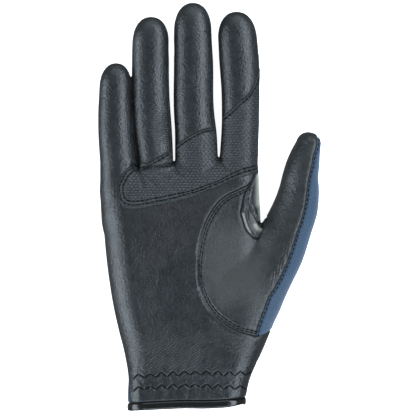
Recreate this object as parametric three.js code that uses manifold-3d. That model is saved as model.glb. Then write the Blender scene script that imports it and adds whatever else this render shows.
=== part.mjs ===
// A right-hand riding glove, lying on its back with the palm up, in millimetres.
// +X runs to the thumb's side, +Y to the fingertips, +Z out of the palm.
// The origin is on the flat that the glove rests on, under the middle of the palm.
//
// The whole glove is first one smooth outer form and one inner form: a palm, four fingers
// and a thumb, each a tube through a few sections. Their difference is the wall, and the
// pattern's seams then cut that wall into the panels that the glove is sewn from.

import * as THREE from "three";
import { mergeVertices } from "three/addons/utils/BufferGeometryUtils.js";
import Module from "manifold-3d";

const wasm = await Module();
wasm.setup();

// Driving sizes

const WALL = 1.2; // leather and fabric
const SEAM_GAP = 0.3; // between neighbouring panels
const PATCH_THICKNESS = 1.0;
const PATCH_LOWEST = 0.68; // share of FINGER_DEPTH
const PATCH_SIDE = 0.378; // from here, share of PALM_WIDTH, it comes down the index finger
const PATCH_SIDE_LOWEST = 0.49; // share of FINGER_DEPTH

const PALM_WIDTH = 90; // at the knuckles
const PALM_LENGTH = 137.8; // cuff edge to finger crotches
const ORIGIN_ALONG = 0.641; // share of PALM_LENGTH from the cuff's edge to the origin
const CROTCH_RISE = 0.097; // the crotches stand higher towards the index finger
const PALM_DEPTH = 23;
const CUFF_WIDTH = 65;
const CUFF_DROP = 1.6; // how much lower the cuff's little-finger corner is than its middle
const REST_FLAT = 0.7; // how far the soft back is pressed flat

const BINDING_HEIGHT = 4.4;
const BINDING_PROUD = 0.5; // how far it stands out from the wall, on both faces

const LONGEST_FINGER = 88.8; // crotch line to the middle finger's tip
const FINGER_WIDTH = 22.6; // the middle finger's
const FINGER_DEPTH = 18.5; // the middle finger's, at its root
const FINGER_START = 22; // how far a finger's tube reaches back into the palm
const FINGER_CURL = 4.5; // rise of the fingertips off the surface
const FOURCHETTE_WIDTH = 7;

const THUMB_DEPTH = 28; // through the ball of the thumb
const THUMB_WIDTH = 40;

const PALM_SIDES = 28;
const FINGER_SIDES = 16;
const THUMB_SIDES = 20;

// Section tables. Places and sizes across are shares of the sizes named above each table.

// along: share of PALM_LENGTH from the cuff. left and right: share of PALM_WIDTH from the
// middle line. deep: share of PALM_DEPTH. seamLeft and seamRight: height of the seam
// between palm and back, share of PALM_DEPTH.
const PALM_SECTIONS = [
  { along: 0.0, left: -0.383, right: 0.34, deep: 0.92, seamLeft: 0.7, seamRight: 0.38 },
  { along: 0.06, left: -0.387, right: 0.355, deep: 0.9, seamLeft: 0.67, seamRight: 0.38 },
  { along: 0.13, left: -0.384, right: 0.376, deep: 0.9, seamLeft: 0.58, seamRight: 0.38 },
  { along: 0.22, left: -0.406, right: 0.42, deep: 0.94, seamLeft: 0.38, seamRight: 0.38 },
  { along: 0.31, left: -0.441, right: 0.445, deep: 0.98, seamLeft: 0.34, seamRight: 0.38 },
  { along: 0.43, left: -0.481, right: 0.455, deep: 1.0, seamLeft: 0.33, seamRight: 0.38 },
  { along: 0.58, left: -0.514, right: 0.445, deep: 1.0, seamLeft: 0.33, seamRight: 0.38 },
  { along: 0.72, left: -0.534, right: 0.438, deep: 0.98, seamLeft: 0.34, seamRight: 0.38 },
  { along: 0.85, left: -0.55, right: 0.43, deep: 0.94, seamLeft: 0.36, seamRight: 0.38 },
  { along: 0.93, left: -0.558, right: 0.426, deep: 0.86, seamLeft: 0.38, seamRight: 0.38 },
  { along: 0.975, left: -0.552, right: 0.418, deep: 0.62, seamLeft: 0.39, seamRight: 0.39 },
  { along: 1.0, left: -0.53, right: 0.4, deep: 0.28, seamLeft: 0.39, seamRight: 0.39 },
];

// root: share of PALM_WIDTH from the middle line. length, width and depth: share of
// LONGEST_FINGER, FINGER_WIDTH and FINGER_DEPTH. In the sections, along is a share of the
// finger's length from the crotch line, shift and wide are shares of its width, and deep of
// its depth.
const FINGERS = [
  {
    name: "little", root: -0.456, length: 0.622, width: 0.867, depth: 0.892,
    sections: [
      { along: 0.0, shift: 0.05, wide: 1.06, deep: 1.0 },
      { along: 0.12, shift: 0.015, wide: 1.03, deep: 1.0 },
      { along: 0.34, shift: -0.035, wide: 0.985, deep: 0.99 },
      { along: 0.5, shift: -0.045, wide: 0.965, deep: 0.97 },
      { along: 0.67, shift: -0.045, wide: 0.92, deep: 0.94 },
      { along: 1.0, shift: -0.02, wide: 0.86, deep: 0.88 },
    ],
  },
  {
    name: "ring", root: -0.215, length: 0.912, width: 0.929, depth: 0.973,
    sections: [
      { along: 0.0, shift: 0.02, wide: 0.92, deep: 1.0 },
      { along: 0.23, shift: -0.07, wide: 0.99, deep: 0.98 },
      { along: 0.45, shift: -0.12, wide: 0.985, deep: 0.96 },
      { along: 0.78, shift: -0.13, wide: 0.97, deep: 0.93 },
      { along: 1.0, shift: -0.115, wide: 0.93, deep: 0.87 },
    ],
  },
  {
    name: "middle", root: 0.046, length: 1, width: 1, depth: 1,
    sections: [
      { along: 0.0, shift: -0.022, wide: 1.06, deep: 1.0 },
      { along: 0.2, shift: -0.045, wide: 1.02, deep: 0.98 },
      { along: 0.31, shift: -0.084, wide: 0.99, deep: 0.97 },
      { along: 0.62, shift: -0.096, wide: 0.965, deep: 0.94 },
      { along: 0.82, shift: -0.115, wide: 0.925, deep: 0.91 },
      { along: 1.0, shift: -0.11, wide: 0.88, deep: 0.86 },
    ],
  },
  {
    name: "index", root: 0.312, length: 0.944, width: 0.982, depth: 1,
    sections: [
      { along: 0.0, shift: -0.04, wide: 0.964, deep: 1.0 },
      { along: 0.25, shift: 0.005, wide: 0.926, deep: 0.98 },
      { along: 0.45, shift: 0.005, wide: 0.93, deep: 0.97 },
      { along: 0.7, shift: -0.03, wide: 1.0, deep: 0.94 },
      { along: 0.82, shift: -0.065, wide: 0.98, deep: 0.92 },
      { along: 1.0, shift: -0.09, wide: 0.93, deep: 0.86 },
    ],
  },
];

// x and y: share of PALM_WIDTH and PALM_LENGTH from the origin. wide: share of THUMB_WIDTH.
// deep and height (of the middle): share of THUMB_DEPTH.
const THUMB_SECTIONS = [
  { x: 0.25, y: -0.415, wide: 0.6, deep: 0.55, height: 0.37 },
  { x: 0.292, y: -0.349, wide: 0.73, deep: 0.74, height: 0.42 },
  { x: 0.361, y: -0.219, wide: 0.885, deep: 0.92, height: 0.46 },
  { x: 0.476, y: -0.09, wide: 0.785, deep: 1, height: 0.5 },
  { x: 0.546, y: 0.008, wide: 0.755, deep: 0.98, height: 0.5 },
  { x: 0.619, y: 0.106, wide: 0.65, deep: 0.9, height: 0.52 },
  { x: 0.65, y: 0.171, wide: 0.615, deep: 0.84, height: 0.54 },
  { x: 0.672, y: 0.236, wide: 0.55, deep: 0.78, height: 0.55 },
  { x: 0.681, y: 0.301, wide: 0.48, deep: 0.72, height: 0.57 },
  { x: 0.706, y: 0.366, wide: 0.42, deep: 0.66, height: 0.58 },
  { x: 0.734, y: 0.43, wide: 0.32, deep: 0.52, height: 0.6 },
];

// Outlines seen from above the palm, x as share of PALM_WIDTH and y of PALM_LENGTH.

// The seam between the thumb's leather and its fabric back, from the tip down.
const THUMB_BACK_SEAM = [
  { x: 0.79, y: 0.469 }, { x: 0.765, y: 0.375 }, { x: 0.727, y: 0.253 }, { x: 0.693, y: 0.126 },
  { x: 0.628, y: -0.003 }, { x: 0.55, y: -0.13 }, { x: 0.5, y: -0.17 }, { x: 0.444, y: -0.275 },
  { x: 0.409, y: -0.347 },
];

// The round base of the thumb's leather on the palm, from the wrist end up to the web.
const THUMB_BASE_SEAM = [
  { x: 0.409, y: -0.347 }, { x: 0.31, y: -0.33 }, { x: 0.222, y: -0.301 }, { x: 0.162, y: -0.271 },
  { x: 0.106, y: -0.228 }, { x: 0.067, y: -0.173 }, { x: 0.044, y: -0.118 }, { x: 0.042, y: -0.053 },
  { x: 0.056, y: 0.019 }, { x: 0.083, y: 0.092 }, { x: 0.128, y: 0.153 }, { x: 0.184, y: 0.193 },
  { x: 0.245, y: 0.222 }, { x: 0.305, y: 0.238 }, { x: 0.345, y: 0.259 },
];

// The edge that the web shares with the thumb's leather, from the top down to the crotch.
const WEB_SEAM = [
  { x: 0.345, y: 0.256 }, { x: 0.332, y: 0.219 }, { x: 0.324, y: 0.179 }, { x: 0.315, y: 0.154 },
  { x: 0.33, y: 0.115 }, { x: 0.348, y: 0.081 }, { x: 0.377, y: 0.061 }, { x: 0.411, y: 0.044 },
  { x: 0.448, y: 0.077 },
];

// In the air between the thumb and the hand, from the crotch up past the thumb's tip.
const THUMB_CLEARANCE = [
  { x: 0.465, y: 0.13 }, { x: 0.52, y: 0.247 }, { x: 0.585, y: 0.375 }, { x: 0.635, y: 0.454 },
  { x: 0.703, y: 0.508 }, { x: 0.79, y: 0.508 },
];

// Under the thumb, where its fabric meets the back's, from the wrist end up to the crotch.
const THUMB_UNDER_SEAM = [
  { x: 0.409, y: -0.347 }, { x: 0.424, y: -0.207 }, { x: 0.442, y: -0.039 }, { x: 0.452, y: 0.057 },
];

// The lower edge of the thumb's fabric, from the wrist end out past the silhouette.
const THUMB_FABRIC_END = [{ x: 0.451, y: -0.343 }, { x: 0.509, y: -0.321 }, { x: 0.6, y: -0.247 }];

// Heights of the seam round the underside of the thumb, share of THUMB_DEPTH.
const THUMB_SEAM_HEIGHTS = [
  { y: -0.5, height: 0.31 }, { y: -0.15, height: 0.33 }, { y: 0.05, height: 0.42 },
  { y: 0.25, height: 0.53 }, { y: 0.52, height: 0.6 },
];

// Half-width of the strips between the fingers, share of FOURCHETTE_WIDTH. along: share of the
// shorter finger's length from the crotch.
const FOURCHETTE_SECTIONS = [
  { along: -0.16, half: 0 }, { along: -0.03, half: 0.5 }, { along: 0.3, half: 0.46 },
  { along: 0.6, half: 0.32 }, { along: 0.88, half: 0 },
];

// The grip patch's outline, from the little finger's crotch anticlockwise.
const PATCH_OUTLINE = [
  { x: -0.345, y: 0.347 }, { x: -0.392, y: 0.331 }, { x: -0.426, y: 0.286 }, { x: -0.438, y: 0.227 },
  { x: -0.428, y: 0.178 }, { x: -0.373, y: 0.167 }, { x: -0.256, y: 0.169 }, { x: -0.116, y: 0.186 },
  { x: 0.074, y: 0.223 }, { x: 0.233, y: 0.264 }, { x: 0.393, y: 0.307 }, { x: 0.52, y: 0.336 },
  { x: 0.52, y: 0.765 }, { x: 0.43, y: 0.735 }, { x: 0.413, y: 0.701 }, { x: 0.392, y: 0.665 },
  { x: 0.357, y: 0.629 }, { x: 0.309, y: 0.602 }, { x: 0.261, y: 0.571 }, { x: 0.19, y: 0.536 },
  { x: 0.162, y: 0.503 }, { x: 0.087, y: 0.492 }, { x: 0.012, y: 0.463 }, { x: -0.062, y: 0.434 },
  { x: -0.105, y: 0.415 }, { x: -0.206, y: 0.382 }, { x: -0.28, y: 0.345 }, { x: -0.32, y: 0.34 },
];

// Reading a table: a smooth curve through one column of its rows

function read(rows, key, column, place) {
  let i = 0;
  while (i < rows.length - 2 && place > rows[i + 1][key]) i++;
  const slope = (a, b) => (rows[b][column] - rows[a][column]) / (rows[b][key] - rows[a][key]);
  const last = rows.length - 1;
  const span = rows[i + 1][key] - rows[i][key];
  const t = (place - rows[i][key]) / span;
  const into = slope(Math.max(i - 1, 0), i + 1) * span;
  const out = slope(i, Math.min(i + 2, last)) * span;
  const a = rows[i][column];
  const b = rows[i + 1][column];
  if (t < 0) return a + into * t;
  if (t > 1) return b + out * (t - 1);
  return (
    a * (1 + 2 * t) * (1 - t) ** 2 + into * t * (1 - t) ** 2 +
    b * t * t * (3 - 2 * t) - out * t * t * (1 - t)
  );
}

// Places in millimetres

const cuffY = -ORIGIN_ALONG * PALM_LENGTH;
const crotchY = cuffY + PALM_LENGTH;
const fingerMiddle = (y) => {
  const reach = Math.max(0, (y - crotchY) / LONGEST_FINGER);
  return (FINGER_DEPTH - REST_FLAT) / 2 + FINGER_CURL * reach ** 2;
};
const onPalm = ({ x, y }) => new THREE.Vector2(x * PALM_WIDTH, y * PALM_LENGTH);
const placed = (table) => table.map(onPalm);

// Tubes: closed geometry through rings, each ring a rounded section across the tube

const SQUARENESS = 2.3; // 2 is an ellipse, more is squarer

function ringPoints(ring, grow, sides) {
  const points = [];
  const wide = ring.halfWidth + grow;
  const deep = ring.halfDepth + grow;
  for (let j = 0; j < sides; j++) {
    const turn = (2 * Math.PI * j) / sides;
    const c = Math.cos(turn);
    const s = Math.sin(turn);
    const across = wide * Math.sign(c) * Math.abs(c) ** (2 / SQUARENESS);
    const up = deep * Math.sign(s) * Math.abs(s) ** (2 / SQUARENESS);
    const p = ring.middle.clone().addScaledVector(ring.across, across);
    p.z += up;
    if (ring.drop) p.y -= ring.drop(p.x);
    points.push(p);
  }
  return points;
}

function tube(rings, sides, grow = 0) {
  const position = [];
  const index = [];
  const push = (p) => position.push(p.x, p.y, p.z);
  for (const ring of rings) ringPoints(ring, grow, sides).forEach(push);
  push(rings[0].middle);
  push(rings.at(-1).middle);
  const start = rings.length * sides;
  for (let i = 0; i < rings.length; i++)
    for (let j = 0; j < sides; j++) {
      const a = i * sides + j;
      const b = i * sides + ((j + 1) % sides);
      if (i === 0) index.push(start, a, b);
      if (i === rings.length - 1) index.push(start + 1, b, a);
      else index.push(a, a + sides, b + sides, a, b + sides, b);
    }
  const geometry = new THREE.BufferGeometry();
  geometry.setAttribute("position", new THREE.Float32BufferAttribute(position, 3));
  geometry.setIndex(index);
  return solid(geometry);
}

// Rings that round off a tube's end: the last ring shrinks along a quarter circle.
function roundEnd(last, direction, radius, steps) {
  const rings = [];
  for (let k = 1; k <= steps; k++) {
    const turn = (Math.PI / 2) * (k / (steps + 0.35));
    rings.push({
      ...last,
      middle: last.middle.clone().addScaledVector(direction, radius * Math.sin(turn)),
      halfWidth: last.halfWidth * Math.cos(turn),
      halfDepth: last.halfDepth * Math.cos(turn),
    });
  }
  return rings;
}

// manifold-3d solids

function solid(geometry) {
  const bare = geometry.clone();
  for (const name of ["normal", "uv"]) bare.deleteAttribute(name);
  const merged = mergeVertices(bare, 1e-4);
  return new wasm.Manifold(
    new wasm.Mesh({
      numProp: 3,
      vertProperties: merged.attributes.position.array,
      triVerts: new Uint32Array(merged.index.array),
    }),
  );
}

const join = (solids) => solids.reduce((all, one) => all.add(one));

// A prism standing on an outline in the XY plane, from one height to another
function standing(outline, low = -50, high = 80) {
  const g = new THREE.ExtrudeGeometry(new THREE.Shape(outline), {
    depth: high - low,
    bevelEnabled: false,
  });
  return solid(g.translate(0, 0, low));
}

// A prism along X over an outline in the YZ plane
function lying(outline, from, to) {
  const g = new THREE.ExtrudeGeometry(new THREE.Shape(outline), {
    depth: to - from,
    bevelEnabled: false,
  });
  const axes = new THREE.Matrix4().makeBasis(
    new THREE.Vector3(0, 1, 0),
    new THREE.Vector3(0, 0, 1),
    new THREE.Vector3(1, 0, 0),
  );
  return solid(g.applyMatrix4(axes).translate(from, 0, 0));
}

function box(low, high) {
  const size = new THREE.Vector3().subVectors(high, low);
  const middle = new THREE.Vector3().addVectors(low, high).multiplyScalar(0.5);
  return solid(new THREE.BoxGeometry(size.x, size.y, size.z).translate(middle.x, middle.y, middle.z));
}

const FAR = 300;
const above = (z) => box(new THREE.Vector3(-FAR, -FAR, z), new THREE.Vector3(FAR, FAR, FAR));

// The palm's tube

const ACROSS = new THREE.Vector3(1, 0, 0);

// The cuff's edge drops towards its little-finger corner and rises towards the other.
const cuffDrop = (share) => (x) =>
  -share * CUFF_DROP * Math.sign(x) * (x / (CUFF_WIDTH / 2)) ** 2;

const crotchRise = (share) => (x) => -share * CROTCH_RISE * x;

function palmRing(along, lengthen = 0) {
  const left = read(PALM_SECTIONS, "along", "left", along) * PALM_WIDTH;
  const right = read(PALM_SECTIONS, "along", "right", along) * PALM_WIDTH;
  const halfDepth = (read(PALM_SECTIONS, "along", "deep", along) * PALM_DEPTH) / 2;
  // towards the fingers the palm's middle comes down to theirs
  const blend = THREE.MathUtils.smoothstep(along, 0.8, 1);
  const palmMiddle = halfDepth - REST_FLAT;
  const y = cuffY + along * PALM_LENGTH - lengthen;
  return {
    middle: new THREE.Vector3(
      (left + right) / 2, y, palmMiddle * (1 - blend) + fingerMiddle(crotchY) * blend,
    ),
    across: ACROSS,
    halfWidth: (right - left) / 2,
    halfDepth,
    drop: along < 0.5 ? cuffDrop(Math.max(0, 1 - along / 0.2)) : crotchRise((along - 0.5) / 0.5),
  };
}

const PALM_STEPS = [0, 0.06, 0.14, 0.22, 0.3, 0.4, 0.52, 0.65, 0.77, 0.86, 0.93, 0.975, 1];

function palmTube(grow, openCuff) {
  const rings = PALM_STEPS.map((along) => palmRing(along));
  // The inner form stops a wall's thickness short of the crotches, and runs out of the cuff.
  if (grow < 0) {
    rings.at(-1).middle.y += grow;
    rings.at(-2).middle.y += grow;
  }
  if (grow > 0) {
    rings.at(-1).middle.y += grow;
    rings.at(-2).middle.y += grow / 2;
  }
  if (openCuff) rings[0].middle.y -= openCuff;
  return tube(rings, PALM_SIDES, grow);
}

// The fingers' tubes

const FINGER_STEPS = [0, 0.18, 0.36, 0.54, 0.72];
const ROOT_NARROWER = 0.86; // inside the palm, so that it stays under the palm's skin
const ROOT_FLATTER = 0.78;
const TIP_ROUNDING = 0.92; // share of the finger's width

const lengthOf = (finger) => finger.length * LONGEST_FINGER;

function fingerRing(finger, along) {
  const { root, sections } = finger;
  const width = finger.width * FINGER_WIDTH;
  const depth = finger.depth * FINGER_DEPTH;
  const y = crotchY + along * lengthOf(finger);
  const value = (column) => read(sections, "along", column, along);
  return {
    middle: new THREE.Vector3(root * PALM_WIDTH + value("shift") * width, y, fingerMiddle(y)),
    across: ACROSS,
    halfWidth: (value("wide") * width) / 2,
    halfDepth: (value("deep") * depth) / 2,
  };
}

function fingerTube(finger, grow) {
  const start = fingerRing(finger, 0);
  start.middle.y -= FINGER_START;
  start.halfWidth *= ROOT_NARROWER;
  start.halfDepth *= ROOT_FLATTER;
  const radius = (TIP_ROUNDING * finger.width * FINGER_WIDTH) / 2;
  const capStart = 1 - radius / lengthOf(finger);
  const rings = [start, ...FINGER_STEPS.filter((s) => s < capStart - 0.04).map((s) => fingerRing(finger, s))];
  const last = fingerRing(finger, capStart);
  rings.push(last);
  const tip = fingerRing(finger, 1).middle;
  const direction = tip.sub(last.middle).normalize();
  rings.push(...roundEnd(last, direction, radius, 3));
  return tube(rings, FINGER_SIDES, grow);
}

// The thumb's tube

function thumbRing(row, direction) {
  return {
    middle: new THREE.Vector3(row.x * PALM_WIDTH, row.y * PALM_LENGTH, row.height * THUMB_DEPTH),
    across: new THREE.Vector3(direction.y, -direction.x, 0),
    halfWidth: (row.wide * THUMB_WIDTH) / 2,
    halfDepth: (row.deep * THUMB_DEPTH) / 2,
  };
}

function thumbTube(grow) {
  const places = THUMB_SECTIONS.map((row) => onPalm(row));
  const rings = THUMB_SECTIONS.map((row, i) => {
    const before = places[Math.max(i - 1, 0)];
    const after = places[Math.min(i + 1, places.length - 1)];
    return thumbRing(row, new THREE.Vector2().subVectors(after, before).normalize());
  });
  const last = rings.at(-1);
  const direction = new THREE.Vector3(-last.across.y, last.across.x, 0);
  rings.push(...roundEnd(last, direction, last.halfWidth + grow, 3));
  return tube(rings, THUMB_SIDES, grow);
}

// The whole form, grown or shrunk

function form(grow, openCuff = 0) {
  const tubes = [palmTube(grow, openCuff), thumbTube(grow)];
  for (const finger of FINGERS) tubes.push(fingerTube(finger, grow));
  return join(tubes).intersect(above(Math.max(0, -grow)));
}


const outer = form(0);
const CUFF_OPEN = 4 * BINDING_HEIGHT; // how far the inner form runs out of the cuff
const shell = outer.subtract(form(-WALL, CUFF_OPEN));

// Regions that the seams bound

// The same outline, moved out by a distance
function widened(outline, distance) {
  const turn = THREE.ShapeUtils.isClockWise(outline) ? 1 : -1;
  const count = outline.length;
  return outline.map((p, i) => {
    const into = p.clone().sub(outline[(i + count - 1) % count]).normalize();
    const out = outline[(i + 1) % count].clone().sub(p).normalize();
    const normal = (d) => new THREE.Vector2(-d.y, d.x).multiplyScalar(turn);
    const middle = normal(into).add(normal(out)).normalize();
    const reach = distance / Math.max(0.5, middle.dot(normal(out)));
    return p.clone().addScaledVector(middle, reach);
  });
}

// Everything above a height that changes along Y
function aboveLine(points, from = -FAR, to = FAR) {
  const line = [...points].sort((a, b) => a.x - b.x);
  const ends = [
    new THREE.Vector2(line.at(-1).x, FAR), new THREE.Vector2(line[0].x, FAR),
  ];
  return lying([...line, ...ends], from, to);
}

function palmSeam(column, raise) {
  const palm = PALM_SECTIONS.filter((row) => row.along < 0.95).map(
    (row) => new THREE.Vector2(cuffY + row.along * PALM_LENGTH, row[column] * PALM_DEPTH + raise),
  );
  palm.unshift(new THREE.Vector2(-FAR, palm[0].y));
  const fingers = [0, 0.25, 0.5, 0.75, 1].map((share) => {
    const y = crotchY + share * LONGEST_FINGER;
    return new THREE.Vector2(y, fingerMiddle(y) + raise);
  });
  return [...palm, ...fingers, new THREE.Vector2(FAR, fingers.at(-1).y)];
}

const SPLIT_X = -0.1 * PALM_WIDTH; // between ring and middle finger, where both edges of the hand hand over
const abovePalmSeam = (raise) =>
  aboveLine(palmSeam("seamLeft", raise), -FAR, SPLIT_X).add(
    aboveLine(palmSeam("seamRight", raise), SPLIT_X, FAR),
  );

const aboveThumbSeam = (raise) =>
  aboveLine([
    ...THUMB_SEAM_HEIGHTS.map(
      (row) => new THREE.Vector2(row.y * PALM_LENGTH, row.height * THUMB_DEPTH + raise),
    ),
    new THREE.Vector2(-FAR, THUMB_SEAM_HEIGHTS[0].height * THUMB_DEPTH + raise),
    new THREE.Vector2(FAR, THUMB_SEAM_HEIGHTS.at(-1).height * THUMB_DEPTH + raise),
  ]);

function fourchetteOutline(shorter, grow) {
  const upper = [];
  const lower = [];
  for (const row of FOURCHETTE_SECTIONS) {
    const y = crotchY + row.along * lengthOf(shorter);
    const half = row.half * FOURCHETTE_WIDTH + grow;
    upper.push(new THREE.Vector2(y, fingerMiddle(y) + half));
    lower.unshift(new THREE.Vector2(y, fingerMiddle(y) - half));
  }
  if (grow === 0) {
    upper.pop();
    upper.shift();
  }
  return [...upper, ...lower];
}

const thumbLeather = [
  ...placed(THUMB_BASE_SEAM.slice(0, -1)),
  ...placed(WEB_SEAM),
  ...placed(THUMB_CLEARANCE),
  ...placed(THUMB_BACK_SEAM.slice(0, -1)),
];
const thumbFabric = [
  ...placed(THUMB_UNDER_SEAM),
  ...placed(THUMB_CLEARANCE),
  ...placed([{ x: 1, y: 0.6 }, { x: 1, y: -0.25 }]),
  ...placed([...THUMB_FABRIC_END].reverse()),
];
const web = [
  ...placed(WEB_SEAM),
  ...placed([{ x: 0.465, y: 0.132 }, { x: 0.465, y: 0.3 }, { x: 0.43, y: 0.31 }]),
];

// Cutting the wall

let wall = shell;
const pieces = {};
function cut(name, region, wider) {
  pieces[name] = wall.intersect(region);
  wall = wall.subtract(wider);
}

const edge = cuffY + BINDING_HEIGHT;
const cuffSlab = (raise) => {
  const places = [-0.67, -0.5, -0.33, -0.17, 0, 0.67].map((share) => share * PALM_WIDTH);
  const top = places.map((x) => new THREE.Vector2(x, edge + raise - cuffDrop(1)(x)));
  const ends = [new THREE.Vector2(places.at(-1), -FAR), new THREE.Vector2(places[0], -FAR)];
  return standing([...top, ...ends]);
};
pieces.cuff_binding = form(BINDING_PROUD)
  .subtract(form(-WALL - BINDING_PROUD, CUFF_OPEN))
  .intersect(cuffSlab(0));
wall = wall.subtract(cuffSlab(SEAM_GAP));

for (let i = 0; i < 3; i++) {
  const [one, next] = [FINGERS[i], FINGERS[i + 1]];
  const shorter = one.length < next.length ? one : next;
  const region = (grow) =>
    lying(fourchetteOutline(shorter, grow), one.root * PALM_WIDTH, next.root * PALM_WIDTH);
  cut(`fourchette_${one.name}_${next.name}`, region(0), region(SEAM_GAP));
}

cut(
  "thumb_gusset",
  standing(web).intersect(aboveThumbSeam(0)),
  standing(widened(web, SEAM_GAP)).intersect(aboveThumbSeam(-SEAM_GAP)),
);
cut(
  "thumb_panel",
  standing(thumbLeather).intersect(aboveThumbSeam(0)),
  standing(widened(thumbLeather, SEAM_GAP)).intersect(aboveThumbSeam(-SEAM_GAP)),
);
cut("thumb_back", standing(thumbFabric), standing(widened(thumbFabric, SEAM_GAP)));
pieces.palm_panel = wall.intersect(abovePalmSeam(SEAM_GAP / 2));
pieces.back_panel = wall.subtract(abovePalmSeam(-SEAM_GAP / 2));

// The patch lies on the palm side, and comes down the outer side of the index finger.
const patchSide = PATCH_SIDE * PALM_WIDTH;
const patchTop = PATCH_LOWEST * FINGER_DEPTH;
const patchSideLow = PATCH_SIDE_LOWEST * FINGER_DEPTH;
const patchRoom = [
  box(new THREE.Vector3(-FAR, -FAR, patchTop), new THREE.Vector3(patchSide, FAR, FAR)),
  box(new THREE.Vector3(patchSide, -FAR, patchSideLow), new THREE.Vector3(FAR, FAR, FAR)),
];
pieces.grip_patch = form(SEAM_GAP + PATCH_THICKNESS)
  .subtract(form(SEAM_GAP))
  .intersect(standing(placed(PATCH_OUTLINE)))
  .intersect(join(patchRoom));

// The result: one named mesh for each piece

const LEATHER = { color: 0x2c3539, roughness: 0.5 };
const FABRIC = { color: 0x3d5a85, roughness: 0.9 };
const LOOKS = {
  cuff_binding: { color: 0x0b0b0c, roughness: 0.2 },
  fourchette: LEATHER,
  thumb_gusset: LEATHER,
  thumb_panel: LEATHER,
  thumb_back: FABRIC,
  palm_panel: LEATHER,
  back_panel: FABRIC,
  grip_patch: { color: 0x20262a, roughness: 0.55 },
};

const glove = new THREE.Group();
glove.name = "riding_glove";

for (const [name, piece] of Object.entries(pieces)) {
  const parts = piece.decompose().sort((a, b) => b.volume() - a.volume());
  const raw = parts[0].getMesh();
  const geometry = new THREE.BufferGeometry();
  geometry.setAttribute("position", new THREE.BufferAttribute(raw.vertProperties, 3));
  geometry.setIndex(new THREE.BufferAttribute(raw.triVerts, 1));
  const { color, roughness } = LOOKS[name.startsWith("fourchette") ? "fourchette" : name];
  const mesh = new THREE.Mesh(
    geometry,
    new THREE.MeshStandardMaterial({ color, roughness, metalness: 0 }),
  );
  mesh.name = name;
  glove.add(mesh);
}

export default glove;
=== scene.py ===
"""A right-hand riding glove lying palm up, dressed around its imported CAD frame.

Lengths are in millimetres until a mesh is made. +X is the thumb's side, +Y the fingertips,
+Z out of the palm. The skin is an implicit form, a smooth union of palm, fingers and thumb.
It is meshed once, cut along the pattern's seams, and each panel gets its grooves and folds.
"""
import math

import bpy
import numpy as np
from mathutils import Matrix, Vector
from mathutils.bvhtree import BVHTree
from mathutils.kdtree import KDTree


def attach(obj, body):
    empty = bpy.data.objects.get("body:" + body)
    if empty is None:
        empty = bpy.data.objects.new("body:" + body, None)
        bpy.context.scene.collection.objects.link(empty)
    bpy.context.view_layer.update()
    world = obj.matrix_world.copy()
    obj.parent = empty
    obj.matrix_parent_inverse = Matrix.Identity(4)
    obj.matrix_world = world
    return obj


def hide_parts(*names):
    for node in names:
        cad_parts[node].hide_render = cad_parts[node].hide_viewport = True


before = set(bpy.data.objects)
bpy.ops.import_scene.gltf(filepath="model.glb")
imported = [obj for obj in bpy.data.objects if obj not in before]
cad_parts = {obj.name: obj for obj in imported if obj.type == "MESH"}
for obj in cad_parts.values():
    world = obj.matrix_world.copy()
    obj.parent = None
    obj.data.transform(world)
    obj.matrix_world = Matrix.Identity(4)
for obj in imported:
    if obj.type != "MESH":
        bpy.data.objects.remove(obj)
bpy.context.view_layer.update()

MM = 0.001
CELL = 0.65  # of the grid that the form is meshed on
WALL = 1.2
TAU = 2 * math.pi
FAR = 60.0

# Sizes shared with the CAD model

PALM_WIDTH = 90.0
PALM_LENGTH = 137.8
PALM_DEPTH = 23.0
ORIGIN_ALONG = 0.641
CUFF_WIDTH = 65.0
CUFF_DROP = 1.6
CROTCH_RISE = 0.097
REST_FLAT = 0.7
BINDING_HEIGHT = 4.4
LONGEST_FINGER = 88.8
FINGER_WIDTH = 22.6
FINGER_DEPTH = 18.5
FINGER_CURL = 4.5
THUMB_DEPTH = 28.0
THUMB_WIDTH = 40.0
CUFF_Y = -ORIGIN_ALONG * PALM_LENGTH
CROTCH_Y = CUFF_Y + PALM_LENGTH

# Section tables: shares of the sizes above

PALM = np.array([
    # along, left, right, deep, seam_left, seam_right
    (0.00, -0.383, 0.340, 0.92, 0.62, 0.38),
    (0.05, -0.387, 0.352, 0.90, 0.58, 0.38),
    (0.13, -0.384, 0.376, 0.90, 0.40, 0.38),
    (0.22, -0.406, 0.420, 0.94, 0.36, 0.38),
    (0.31, -0.441, 0.445, 0.98, 0.34, 0.38),
    (0.43, -0.481, 0.455, 1.00, 0.33, 0.38),
    (0.58, -0.514, 0.445, 1.00, 0.33, 0.38),
    (0.72, -0.534, 0.440, 0.98, 0.34, 0.38),
    (0.85, -0.550, 0.430, 0.92, 0.36, 0.38),
    (0.93, -0.558, 0.426, 0.86, 0.38, 0.38),
    (1.00, -0.556, 0.422, 0.80, 0.39, 0.39),
])
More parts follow.
